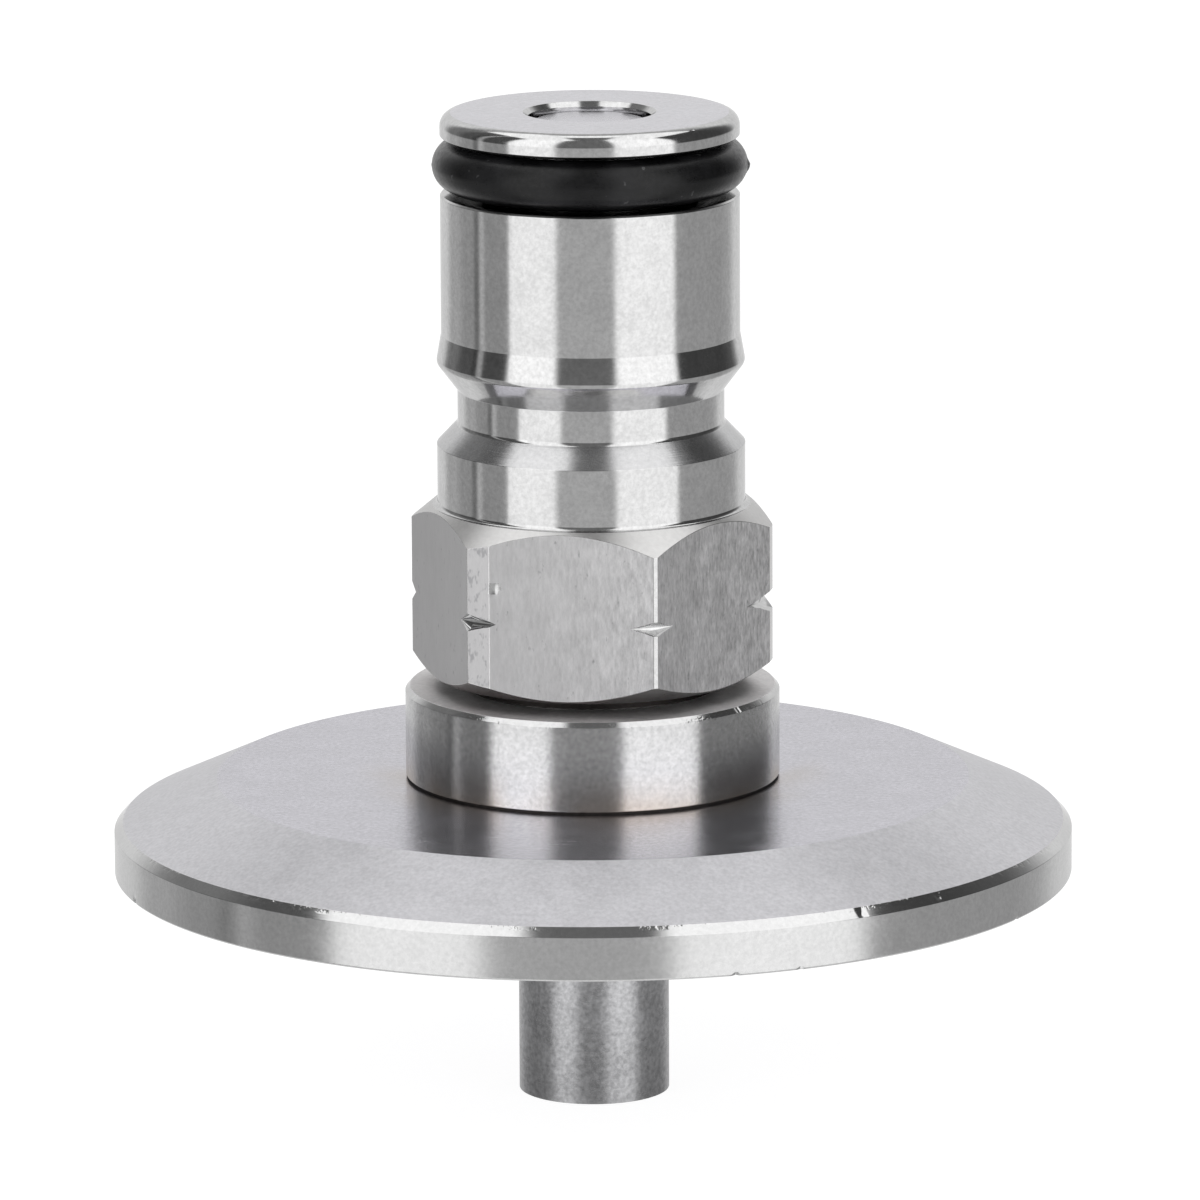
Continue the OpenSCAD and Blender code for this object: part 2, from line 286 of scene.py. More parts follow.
def mesh_piece(name, points, faces, material, body="fitting", crisp=True):
    """A closed smooth mesh from points in millimetres, riding on a body."""
    data = bpy.data.meshes.new(name)
    data.from_pydata((np.asarray(points) * MM).tolist(), [], faces)
    piece = bpy.data.objects.new(name, data)
    bpy.context.scene.collection.objects.link(piece)
    bm = bmesh.new()
    bm.from_mesh(data)
    bmesh.ops.remove_doubles(bm, verts=bm.verts, dist=2e-7)
    bmesh.ops.dissolve_degenerate(bm, edges=bm.edges, dist=1e-8)
    bmesh.ops.recalc_face_normals(bm, faces=bm.faces)
    bm.to_mesh(data)
    bm.free()
    data.polygons.foreach_set("use_smooth", [True] * len(data.polygons))
    data.materials.append(material)
    if crisp:
        crisp_normals(data)
    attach(piece, body)
    return piece


def lathe(name, outline, azimuths, material, wear=None, body="fitting"):
    """A turned piece: outline(azimuths) gives rows of (r, z), which close on themselves round the axis."""
    r, z = outline(azimuths)
    angle = np.radians(azimuths)
    points = np.stack([r * np.sin(angle), -r * np.cos(angle), z + 0 * angle], -1)
    if wear:
        points = wear(points)
    rows, columns = r.shape
    index = np.arange(rows * columns).reshape(rows, columns)
    a, b = index, np.roll(index, -1, 1)
    d, c = np.roll(index, -1, 0), np.roll(b, -1, 0)
    faces = np.stack([a, b, c, d], -1).reshape(-1, 4)
    return mesh_piece(name, points.reshape(-1, 3), faces.tolist(), material, body)


def paint(piece, material, where):
    """Give a material to the faces that where picks.

    It picks them from radius and height in millimetres, how far they face up, and the azimuth they face.
    """
    faces = piece.data.polygons
    centre, normal = np.zeros(3 * len(faces)), np.zeros(3 * len(faces))
    faces.foreach_get("center", centre)
    faces.foreach_get("normal", normal)
    x, y, z = centre.reshape(-1, 3).T / MM
    facing_x, facing_y, up = normal.reshape(-1, 3).T
    picked = where(np.hypot(x, y), z, up, np.degrees(np.arctan2(facing_x, -facing_y)))
    slots = np.zeros(len(faces), dtype=np.int32)
    faces.foreach_get("material_index", slots)
    slots[picked] = len(piece.data.materials)
    piece.data.materials.append(material)
    faces.foreach_set("material_index", slots)


def turn(columns):
    """Evenly spaced azimuths."""
    return np.arange(columns) * 360 / columns


def on_surface(azimuth, r, z):
    """A point in millimetres from its azimuth as the camera sees it, where 0 faces the camera."""
    a = math.radians(azimuth + CAMERA_AZIMUTH)
    return np.array([r * math.sin(a), -r * math.cos(a), z])


def dents(marks):
    """A function that presses small dents into points: marks are (centre, radius, push in millimetres)."""
    def press(points):
        for centre, radius, push in marks:
            away = np.linalg.norm(points - centre, axis=-1) / radius
            depth = np.clip(1 - away ** 2, 0, 1) ** 2
            points = points + depth[..., None] * np.array(push)
        return points
    return press


class Graph:
    """A material's or world's node tree, with short calls for the nodes that are used here."""

    def __init__(self, tree):
        self.tree = tree
        tree.nodes.clear()

    def add(self, kind, inputs=None, **settings):
        made = self.tree.nodes.new(kind)
        for key, value in settings.items():
            setattr(made, key, value)
        for key, value in (inputs or {}).items():
            self.feed(made.inputs[key], value)
        return made

    def feed(self, socket, value):
        if isinstance(value, bpy.types.NodeSocket):
            self.tree.links.new(value, socket)
        else:
            socket.default_value = value

    def math(self, operation, a, b=0.0):
        return self.add("ShaderNodeMath", {0: a, 1: b}, operation=operation).outputs[0]

    def noise(self, vector, scale, detail=3.0, roughness=0.5):
        sockets = {"Vector": vector, "Scale": scale, "Detail": detail, "Roughness": roughness}
        return self.add("ShaderNodeTexNoise", sockets).outputs["Fac"]

    def scaled(self, vector, size):
        """The vector with each axis multiplied."""
        return self.add("ShaderNodeVectorMath", {0: vector, 1: size}, operation="MULTIPLY").outputs[0]

    def remap(self, value, low_in, high_in, low_out, high_out):
        sockets = {
            "Value": value,
            "From Min": low_in,
            "From Max": high_in,
            "To Min": low_out,
            "To Max": high_out,
        }
        return self.add("ShaderNodeMapRange", sockets).outputs["Result"]

    def blend(self, factor, a, b):
        made = self.add("ShaderNodeMix", data_type="RGBA")
        for socket, value in ((0, factor), (6, a), (7, b)):
            self.feed(made.inputs[socket], value)
        return made.outputs[2]

    def bump(self, height, depth):
        """Depth is in metres, for a height from 0 to 1."""
        return self.add("ShaderNodeBump", {"Height": height, "Distance": depth, "Strength": 1.0}).outputs[0]


def rgb(value):
    return (*value, 1.0)


def shader(name):
    """A new material's graph, its Principled shader and the place of each point in metres."""
    material = bpy.data.materials.new(name)
    material.use_nodes = True
    graph = Graph(material.node_tree)
    principled = graph.add("ShaderNodeBsdfPrincipled")
    out = graph.add("ShaderNodeOutputMaterial")
    graph.tree.links.new(principled.outputs[0], out.inputs[0])
    place = graph.add("ShaderNodeNewGeometry").outputs["Position"]
    return material, graph, principled, place


def length(graph, a, b):
    """The length of a vector from its two parts."""
    return graph.math("SQRT", graph.math("ADD", graph.math("MULTIPLY", a, a), graph.math("MULTIPLY", b, b)))


def cylinder_place(graph, place):
    """Radius and height of a point in metres, and its azimuth in radians."""
    parts = graph.add("ShaderNodeSeparateXYZ", {0: place}).outputs
    radius = length(graph, parts[0], parts[1])
    angle = graph.math("ARCTAN2", parts[0], graph.math("MULTIPLY", parts[1], -1.0))
    return radius, parts[2], angle


def edge_distance(graph, radius, height, edge_r, edge_z):
    """How far a point is from an edge that runs round the axis, in metres."""
    out = graph.math("SUBTRACT", radius, edge_r * MM)
    up = graph.math("SUBTRACT", height, edge_z * MM)
    return length(graph, out, up)


# How many features each noise has in a metre
RING_SCALE = 9000.0
CLOUD_SCALE = 700.0
FINE_SCALE = 4200.0
TINT_SCALE = 160.0
CHIP_SCALE = 1300.0
HAIR_SCALE = 7000.0
PATCH_SCALE = 1100.0
SPECK_SCALE = 3000.0
RUBBER_CLOUD_SCALE = 420.0
DUST_SCALE = 2300.0
# How far the turned rings drift in a radian, in metres
RING_DRIFT = 0.00012
# How much less a noise changes along the post than across it
HAIR_STRETCH = (1.0, 1.0, 0.3)
PATCH_STRETCH = (1.0, 1.0, 0.5)
# Painted shade on the hexagon as a factor on its colour, and the strength of its grain, at the side of -X and
# of +X
PAINTED_SIDE_SHADE = (0.86, 1.14)
GRAIN_STRENGTH = (0.35, 2.5)
SPECK_COLOUR = (0.22, 0.22, 0.23)
SPECK_FADE = 0.1
DUST_COLOUR = (0.35, 0.35, 0.36)
# How deep the rubber's grain is, in metres
RUBBER_GRAIN = 6e-6
# Quarter of a turn, which lays the spread of a reflection across the grooves
ACROSS_GROOVES = 0.25


def turned_steel(name, colour, gloss, groove_depth, mottle=0.04, tint=None, fade=None, worn_edge=None,
                 across=0.0, haze=0.0):
    """Turned stainless: fine rings round the axis, faint mottling, and a heat tint and painted shade by height
    where they are given.

    gloss is the lowest and highest roughness. tint is (radius, height, reach, colour, strength).
    fade is painted shade by height: (low height, high height, factor at the low one, factor at the high one).
    worn_edge is (radius, height, reach) of an edge that small nicks follow. across is how much more the
    grooves spread a reflection along the axis than round it. haze is the share of a cloudy film.
    """
    material, graph, principled, place = shader(name)
    radius, height, angle = cylinder_place(graph, place)
    drift = graph.math("MULTIPLY", angle, RING_DRIFT)
    section = graph.add("ShaderNodeCombineXYZ", {0: radius, 1: height, 2: drift})
    rings = graph.noise(section.outputs[0], RING_SCALE, 2.0, 0.6)
    cloud = graph.noise(place, CLOUD_SCALE, 4.0, 0.6)
    fine = graph.noise(place, FINE_SCALE, 3.0, 0.6)
    shade = graph.math("ADD", graph.math("MULTIPLY", cloud, 0.3), graph.math("MULTIPLY", fine, 0.7))
    dark = tuple(c * (1 - mottle) for c in colour)
    light = tuple(min(c * (1 + mottle), 1.0) for c in colour)
    base = graph.blend(graph.remap(shade, 0.36, 0.64, 0.0, 1.0), rgb(dark), rgb(light))
    relief = rings
    if tint:
        tint_r, tint_z, reach, tint_colour, strength = tint
        near = graph.remap(edge_distance(graph, radius, height, tint_r, tint_z), 0.0, reach * MM, 1.0, 0.0)
        patches = graph.remap(graph.noise(place, TINT_SCALE, 2.0), 0.42, 0.62, 0.0, strength)
        base = graph.blend(graph.math("MULTIPLY", near, patches), base, rgb(tint_colour))
    # Painted shade: the colour is scaled from one height to the other
    if fade:
        low_z, high_z, low_factor, high_factor = fade
        factor = graph.remap(height, low_z * MM, high_z * MM, low_factor, high_factor)
        base = graph.add("ShaderNodeVectorMath", {0: base, 3: factor}, operation="SCALE").outputs[0]
    if worn_edge:
        edge_r, edge_z, reach = worn_edge
        near = graph.remap(edge_distance(graph, radius, height, edge_r, edge_z), 0.0, reach * MM, 1.0, 0.0)
        chips = graph.remap(graph.noise(place, CHIP_SCALE, 3.0, 0.7), 0.5, 0.66, 0.0, 1.0)
        chipped = graph.math("MULTIPLY", near, chips)
        relief = graph.math("SUBTRACT", rings, graph.math("MULTIPLY", chipped, EDGE_CHIP / groove_depth))
    graph.feed(principled.inputs["Base Color"], base)
    principled.inputs["Metallic"].default_value = 1.0
    principled.inputs["Specular Tint"].default_value = rgb([GRAZING] * 3)
    worn = graph.math("ADD", graph.math("MULTIPLY", cloud, 0.6), graph.math("MULTIPLY", rings, 0.4))
    graph.feed(principled.inputs["Roughness"], graph.remap(worn, 0.3, 0.7, *gloss))
    graph.feed(principled.inputs["Normal"], graph.bump(relief, groove_depth))
    principled.inputs["Coat Weight"].default_value = haze
    principled.inputs["Coat Roughness"].default_value = HAZE_ROUGHNESS
    if across:
        principled.inputs["Anisotropic"].default_value = across
        principled.inputs["Anisotropic Rotation"].default_value = ACROSS_GROOVES
        grooves = graph.add("ShaderNodeTangent", direction_type="RADIAL", axis="Z").outputs[0]
        graph.feed(principled.inputs["Tangent"], grooves)
    return material


def brushed_steel(name, colour, gloss, depth, specks=0.5, speck_from=0.66):
    """Satin hexagon flats: grain along the post, stronger towards +X, painted shade darker at -X and paler at
    +X, dark specks.
    """
    material, graph, principled, place = shader(name)
    across = graph.add("ShaderNodeSeparateXYZ", {0: place}).outputs[0]
    side = graph.remap(across, -hex_half * MM, hex_half * MM, 0.0, 1.0)
    hair = graph.noise(graph.scaled(place, HAIR_STRETCH), HAIR_SCALE, 3.0, 0.65)
    cloud = graph.noise(graph.scaled(place, PATCH_STRETCH), PATCH_SCALE, 4.0, 0.6)
    spots = graph.noise(graph.scaled(place, PATCH_STRETCH), SPECK_SCALE, 2.0, 0.7)
    speck = graph.remap(spots, speck_from, speck_from + SPECK_FADE, 0.0, specks)
    mixed = graph.math("ADD", graph.math("MULTIPLY", cloud, 0.4), graph.math("MULTIPLY", hair, 0.6))
    grain = graph.math("SUBTRACT", mixed, 0.5)
    strength = graph.remap(graph.math("MULTIPLY", side, side), 0.0, 1.0, *GRAIN_STRENGTH)
    # Painted shade across the hexagon, darker at -X and paler at +X
    level = graph.remap(side, 0.0, 1.0, *PAINTED_SIDE_SHADE)
    shade = graph.math("ADD", level, graph.math("MULTIPLY", grain, strength))
    base = graph.add("ShaderNodeVectorMath", {0: colour, 3: shade}, operation="SCALE").outputs[0]
    base = graph.blend(speck, base, rgb(SPECK_COLOUR))
    graph.feed(principled.inputs["Base Color"], base)
    principled.inputs["Metallic"].default_value = 1.0
    principled.inputs["Specular Tint"].default_value = rgb([GRAZING] * 3)
    graph.feed(principled.inputs["Roughness"], graph.remap(hair, 0.3, 0.7, *gloss))
    graph.feed(principled.inputs["Normal"], graph.bump(hair, depth))
    return material


def rubber(name, colour, gloss, dust=0.25):
    """Black rubber with a fine grain and a few pale specks of dust."""
    material, graph, principled, place = shader(name)
    grain = graph.noise(place, FINE_SCALE, 3.0, 0.6)
    cloud = graph.noise(place, RUBBER_CLOUD_SCALE, 3.0, 0.5)
    speck = graph.remap(graph.noise(place, DUST_SCALE, 1.0, 0.5), 0.74, 0.8, 0.0, dust)
    pale = tuple(c * 3 + 0.008 for c in colour)
    base = graph.blend(graph.remap(cloud, 0.35, 0.7, 0.0, 1.0), rgb(colour), rgb(pale))
    base = graph.blend(speck, base, rgb(DUST_COLOUR))
    graph.feed(principled.inputs["Base Color"], base)
    graph.feed(principled.inputs["Roughness"], graph.remap(grain, 0.3, 0.7, *gloss))
    graph.feed(principled.inputs["Normal"], graph.bump(grain, RUBBER_GRAIN))
    principled.inputs["Specular IOR Level"].default_value = 0.3
    return material


STEEL = (0.60, 0.60, 0.60)
STRAW = (0.50, 0.40, 0.31)
# How much of the glare that a perfect metal has at a grazing angle is left
GRAZING = 0.76
HAZE_ROUGHNESS = 0.55
# How deep the nicks along a worn edge are, in metres
EDGE_CHIP = 8e-6

plate_steel = turned_steel("plate_steel", (0.61, 0.60, 0.65), (0.2, 0.28), 1e-6, 0.15,
                           (hub_r, flat_z, 3.0, (0.52, 0.46, 0.40), 0.5), haze=0.3)
cone_satin = turned_steel("cone_satin", (0.67, 0.665, 0.69), (0.3, 0.38), 2e-6, 0.1)
rim_steel = turned_steel("rim_steel", STEEL, (0.14, 0.22), 1.2e-6, 0.07)
rim_bevel_steel = turned_steel("rim_bevel_steel", (0.64, 0.64, 0.64), (0.07, 0.1), 8e-7, 0.05,
                               worn_edge=(rim_r - RIM_BEVEL, RIM_H + RIM_BEVEL, 0.3))
# The hub's fade is painted light and shade: paler at its foot, darker towards its top
hub_steel = turned_steel("hub_steel", STEEL, (0.21, 0.25), 1e-6, 0.13, (hub_r, flat_z, 2.2, STRAW, 0.6),
                         (flat_z, hub_z, 1.38, 0.92), (hub_r, hub_z - HUB_BEVEL, 0.15), 0.95)
hub_bevel_steel = turned_steel("hub_bevel_steel", STEEL, (0.08, 0.12), 1e-6, 0.06,
                               worn_edge=(hub_r, hub_z - HUB_BEVEL, 0.3))
# The hub's top face: satin, and paler than the hub as painted light in the shade under the hexagon
hub_top_satin_painted_light = turned_steel("hub_top_satin_painted_light", (0.78, 0.765, 0.765), (0.5, 0.62), 2e-6, 0.08)
post_turned = turned_steel("post_turned", STEEL, (0.09, 0.13), 8e-7, 0.11)
top_steel = turned_steel("top_steel", (0.70, 0.69, 0.735), (0.12, 0.18), 1e-6, 0.1)
bevel_satin = turned_steel("bevel_satin", (0.62, 0.615, 0.61), (0.26, 0.34), 2e-6, 0.05,
                           (hex_half, post_z, 1.6, (0.62, 0.52, 0.52), 0.6))
chamfer_satin = turned_steel("chamfer_satin", (0.56, 0.56, 0.565), (0.15, 0.21), 2e-6, 0.08)
post_satin = brushed_steel("post_satin", (0.66, 0.655, 0.66), (0.36, 0.46), 3e-6)
corner_satin = brushed_steel("corner_satin", (0.52, 0.515, 0.52), (0.3, 0.4), 8e-6, 0.55, 0.54)
# Near-black steel: painted shade in the gaps, recesses and hollows
painted_shade_steel = turned_steel("painted_shade_steel", (0.05, 0.045, 0.043), (0.45, 0.6), 2e-6, 0.2)
# The tube's fade is painted shade: darker towards its lower end
tube_steel = turned_steel("tube_steel", (0.44, 0.44, 0.45), (0.24, 0.36), 5e-6, 0.26,
                          fade=(tube_low_z, 0.0, 0.75, 1.1))
pin_steel = turned_steel("pin_steel", (0.74, 0.73, 0.77), (0.24, 0.32), 1e-6)
wire_steel = turned_steel("wire_steel", (0.5, 0.5, 0.5), (0.2, 0.3), 2e-6)
ring_rubber = rubber("ring_rubber", (0.004, 0.004, 0.0045), (0.26, 0.4))
seal_rubber = rubber("seal_rubber", (0.02, 0.019, 0.019), (0.5, 0.65), 0.1)


def plate_outline(azimuths):
    """The ferrule: hole, sealing face with the gasket groove, rim, cone and flat."""
    cone_r = rim_r - RIM_BEVEL
    cone_slope = (flat_z - RIM_H - RIM_BEVEL) / (cone_r - FLAT_R)
    hole_r = SPIGOT_R + WELD_CLEAR
    half_w = GASKET_GROOVE_W / 2
    arc_r = (half_w ** 2 + GASKET_GROOVE_DEPTH ** 2) / (2 * GASKET_GROOVE_DEPTH)
    arc_z = GASKET_GROOVE_DEPTH - arc_r
    half_angle = math.asin(half_w / arc_r)
    groove = []
    for step in range(1, GASKET_GROOVE_STEPS):
        a = half_angle * (1 - step / (GASKET_GROOVE_STEPS / 2))
        groove.append((GASKET_GROOVE_R - arc_r * math.sin(a), arc_z + arc_r * math.cos(a), 0, 0))
    corners = [
        (hole_r, 0, SOFT_EDGE, 2),
        (GASKET_GROOVE_R - half_w, 0, SOFT_EDGE, 2),
        *groove,
        (GASKET_GROOVE_R + half_w, 0, SOFT_EDGE, 2),
        (rim_r - FACE_BEVEL, 0, EDGE, 2),
        (rim_r, FACE_BEVEL, EDGE, 2),
        *[(rim_r, up, 0, 0) for up in RIM_ROWS_UP],
        *[(rim_r, RIM_H - down, 0, 0) for down in RIM_ROWS_DOWN],
        (rim_r, RIM_H, EDGE, 3),
        (rim_r - RIM_BEVEL / 3, RIM_H + RIM_BEVEL / 3, 0, 0),
        (rim_r - RIM_BEVEL * 2 / 3, RIM_H + RIM_BEVEL * 2 / 3, 0, 0),
        (cone_r, RIM_H + RIM_BEVEL, EDGE, 3),
        *[(cone_r - inwards, RIM_H + RIM_BEVEL + inwards * cone_slope, 0, 0) for inwards in CONE_ROWS],
        (FLAT_R, flat_z, SOFT_EDGE, 3),
        (hole_r, flat_z, EDGE, 2),
    ]
    return rounded(corners, len(azimuths))


def hub_outline(azimuths):
    """The hub, with the turns of its thread between the relief and the bevel on its end."""
    crest_r = THREAD_R - THREAD_CLEAR
    first_z = hub_z + RELIEF_H + THREAD_START
    last_z = thread_end_z - THREAD_BEVEL
    corners = [
        (TUBE_HOLE_R, 0, EDGE, 2),
        (SPIGOT_R, 0, EDGE, 2),
        (SPIGOT_R, flat_z, 0, 0),
        (hub_r - SEAM_DEPTH, flat_z, 0, 0),
        (hub_r - SEAM_DEPTH, flat_z + SEAM_H, EDGE, 2),
        (hub_r, flat_z + SEAM_H, SOFT_EDGE, 3),
        *[(hub_r, hub_z - HUB_BEVEL - down, 0, 0) for down in HUB_ROWS],
        (hub_r, hub_z - HUB_BEVEL, EDGE, 2),
        (hub_r - HUB_BEVEL, hub_z, EDGE, 2),
        (RELIEF_R, hub_z, SOFT_EDGE, 3),
        (RELIEF_R, hub_z + RELIEF_H, SOFT_EDGE, 3),
    ]
    steps = int((last_z - first_z) / THREAD_PITCH * THREAD_ROWS_PER_TURN)
    for step in range(steps + 1):
        z = first_z + (last_z - first_z) * step / steps
        phase = (z / THREAD_PITCH - azimuths / 360) % 1
        flank = np.abs(phase - 0.5) * 2
        run_out = THREAD_RUN * (steps - step) / steps + THREAD_END_DEPTH
        fade = min(1.0, THREAD_RUN * step / steps, run_out)
        cut = 1 - np.clip(flank * THREAD_FLANK - THREAD_ROOT, 0, 1)
        corners.append((crest_r - THREAD_DEPTH * fade * cut, z, 0, 0))
    corners += [
        (crest_r - THREAD_BEVEL, thread_end_z, EDGE, 2),
        (TUBE_RING_SEAT_R, thread_end_z, EDGE, 2),
        (TUBE_RING_SEAT_R, thread_end_z - TUBE_RING_SEAT_H, EDGE, 2),
        (TUBE_HOLE_R, thread_end_z - TUBE_RING_SEAT_H, EDGE, 2),
    ]
    return rounded(corners, len(azimuths))


def at_corners(azimuths, by_corner, usual):
    """A value for each azimuth, which some of the hexagon's corners have of their own."""
    values = np.full(len(azimuths), float(usual))
    for corner, value in by_corner.items():
        values[np.abs((azimuths - corner + 180) % 360 - 180) < 30] = value
    return values


def hexagon_r(azimuths):
    """Distance from the axis to the hexagon's flats, whose corners are turned down or worn."""
    from_flat = np.radians((azimuths + 30) % 60 - 30)
    radius = np.minimum(hex_half / np.cos(from_flat), at_corners(azimuths, TURNED_CORNERS, corner_r))
    worn_azimuth, worn_distance = WORN_FACE
    from_worn = (azimuths - worn_azimuth + 180) % 360 - 180
    face_r = worn_distance / np.cos(np.radians(np.clip(from_worn, -WORN_REACH, WORN_REACH)))
    return np.minimum(radius, np.where(np.abs(from_worn) < WORN_REACH, face_r, np.inf))


def post_outline(azimuths):
    """The post, up the outside from its foot and down the mouth, the chamber and the socket."""
    hexagon = hexagon_r(azimuths)
    bevel_r = hex_half - HEX_BEVEL_IN
    notch_root = at_corners(azimuths, NOTCH_ROOTS, NOTCH_ROOT_R)
    notch_slope = at_corners(azimuths, NOTCH_SLOPES, NOTCH_H / 2 / (corner_r - NOTCH_ROOT_R))
    notch_half = np.maximum(hexagon - notch_root, 0) * notch_slope
    root_r = np.minimum(hexagon, notch_root)
    notch_z = post_z + NOTCH_Z
    corners = [
        (bevel_r, post_z, EDGE, 2),
        (hexagon, post_z + (hexagon - bevel_r) * HEX_LOW_SLOPE, EDGE, 2),
        *[(hexagon - (hexagon - root_r) * math.sqrt(1 - u * u), notch_z + notch_half * u, 0, 0)
          for u in NOTCH_STEPS],
        *[(hexagon, post_z + up, 0, 0) for up in np.arange(*DENT_ROWS)],
        (hexagon, collar_z - (hexagon - bevel_r) * HEX_TOP_SLOPE, EDGE, 2),
        (bevel_r, collar_z, 0, 0),
        (COLLAR_R, collar_z, COLLAR_FILLET, 6),
        (COLLAR_R, neck_in_z, EDGE, 3),
        (NECK_R, neck_z, NECK_FILLET, 6),
        (NECK_R, neck_out_z, SOFT_EDGE, 3),
        (FLARE_R, flare_z, FLARE_CORNER, ARC_STEPS),
        (BARREL_R, barrel_z, EDGE, 2),
        (BARREL_R, groove_z - GROOVE_BEVEL, EDGE, 2),
        (BARREL_R - GROOVE_BEVEL, groove_z, EDGE, 2),
        (GROOVE_ROOT_R, groove_z, SOFT_EDGE, 2),
        (GROOVE_ROOT_R, lip_z, SOFT_EDGE, 2),
        (BARREL_R - GROOVE_BEVEL, lip_z, EDGE, 2),
        (BARREL_R, lip_z + GROOVE_BEVEL, EDGE, 2),
        (BARREL_R, top_z, LIP_CORNER, ARC_STEPS),
        (MOUTH_R + MOUTH_BEVEL, top_z, EDGE, 2),
        (MOUTH_R, top_z - MOUTH_BEVEL, EDGE, 2),
        (MOUTH_R, top_z - MOUTH_PAINTED_SHADE_DEPTH, 0, 0),
        (MOUTH_R, seat_z, EDGE, 2),
        (CHAMBER_R, seat_z, SOFT_EDGE, 2),
        (CHAMBER_R, shoulder_z, EDGE, 2),
        (THREAD_R, shoulder_z, SOFT_EDGE, 2),
        (THREAD_R, post_z + THREAD_BEVEL, EDGE, 2),
        (THREAD_R + THREAD_BEVEL, post_z, EDGE, 2),
    ]
    return rounded(corners, len(azimuths))


def post_azimuths():
    """Azimuths for the post, crowded at the hexagon's corners."""
    fine = turn(POST_COLUMNS)
    from_corner = np.abs(fine % 60 - 30)
    return fine[(from_corner < CROWDED_WITHIN) | (np.arange(len(fine)) % PLAIN_EVERY == 0)]


def tube_outline(azimuths):
    """The dip tube with the flange that holds it in the hub."""
    bore_r = TUBE_R - TUBE_WALL
    flange_z = shoulder_z - TUBE_FLANGE_T
    corners = [
        (bore_r, tube_low_z, EDGE, 2),
        (TUBE_R, tube_low_z, EDGE, 2),
        (TUBE_R, flange_z, SOFT_EDGE, 2),
        (tube_flange_r, flange_z, EDGE, 2),
        (tube_flange_r, shoulder_z, EDGE, 2),
        (bore_r, shoulder_z, EDGE, 2),
    ]
    return rounded(corners, len(azimuths))


def ring_outline(azimuths):
    """The sealing ring, with the faint line that its mould leaves round the outside and inside."""
    section = ring_thick / 2
    r, z = [], []
    for a in np.radians(np.arange(0, 360, RING_STEP)):
        flash = FLASH * max(0.0, 1 - abs(math.sin(a)) * FLASH_SHARPNESS)
        r.append(ring_mid_r + (section - FLASH + flash) * math.cos(a))
        z.append(ring_z + section * math.sin(a))
    spread = np.ones(len(azimuths))
    return np.outer(r, spread), np.outer(z, spread)


def spring_coil():
    """The poppet's spring, swept as a round wire with closed turns at both ends."""
    rise = spring_top_z - shoulder_z - 2 * WIRE_R
    open_pitch = (rise - 2 * CLOSED_PITCH) / (COIL_TURNS - 2)
    points, faces = [], []
    rings = COIL_TURNS * COIL_STEPS_PER_TURN
    for i in range(rings + 1):
        u = i / COIL_STEPS_PER_TURN
        if u < 1:
            z = u * CLOSED_PITCH
        elif u > COIL_TURNS - 1:
            z = rise - (COIL_TURNS - u) * CLOSED_PITCH
        else:
            z = CLOSED_PITCH + (u - 1) * open_pitch
        angle = 2 * math.pi * u
        for j in range(WIRE_SIDES):
            b = 2 * math.pi * j / WIRE_SIDES
            r = spring_r - WIRE_R + WIRE_R * math.cos(b)
            up = shoulder_z + WIRE_R + z + WIRE_R * math.sin(b)
            points.append((r * math.cos(angle), r * math.sin(angle), up))
    for i in range(rings):
        here, after = i * WIRE_SIDES, (i + 1) * WIRE_SIDES
        for j in range(WIRE_SIDES):
            k = (j + 1) % WIRE_SIDES
            faces.append((here + j, here + k, after + k, after + j))
    faces.append(tuple(range(WIRE_SIDES)))
    faces.append(tuple(rings * WIRE_SIDES + j for j in range(WIRE_SIDES)))
    coil = mesh_piece("poppet_spring_coil", points, faces, wire_steel, crisp=False)
    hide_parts("poppet_spring")
    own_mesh(coil)


def plate():
    """The ferrule with its nicks, in four finishes."""
    bevel_z = RIM_H + RIM_BEVEL / 2
    bevel_r = rim_r - RIM_BEVEL / 2
    marks = [
        (on_surface(32.9, bevel_r, bevel_z), 0.28, (0, 0, -0.12)),
        (on_surface(44.7, bevel_r, bevel_z + 0.15), 0.3, (0, 0, -0.1)),
        (on_surface(82.0, rim_r, 0.9), 0.22, (-0.14, 0, 0)),
        (on_surface(16.5, rim_r, 0.1), 0.25, (0, 0.05, 0.12)),
        (on_surface(24.5, rim_r, 0.1), 0.22, (0, 0.05, 0.1)),
        (on_surface(60.0, rim_r, 0.1), 0.25, (0, 0.05, 0.1)),
        (on_surface(-71.0, rim_r, 0.1), 0.3, (0.05, 0.05, 0.1)),
    ]
    piece = lathe("ferrule_plate", plate_outline, turn(PLATE_COLUMNS), plate_steel, dents(marks))
    cone_r = rim_r - RIM_BEVEL
    cone_low_z = RIM_H + RIM_BEVEL
    paint(piece, cone_satin, lambda r, z, up, facing: (r > FLAT_R) & (z > cone_low_z))
    paint(piece, rim_steel, lambda r, z, up, facing: (r > FLAT_R) & (z < cone_low_z))
    paint(piece, rim_bevel_steel, lambda r, z, up, facing: (r > cone_r) & (z > RIM_H) & (z < cone_low_z))
    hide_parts("clamp_ferrule")


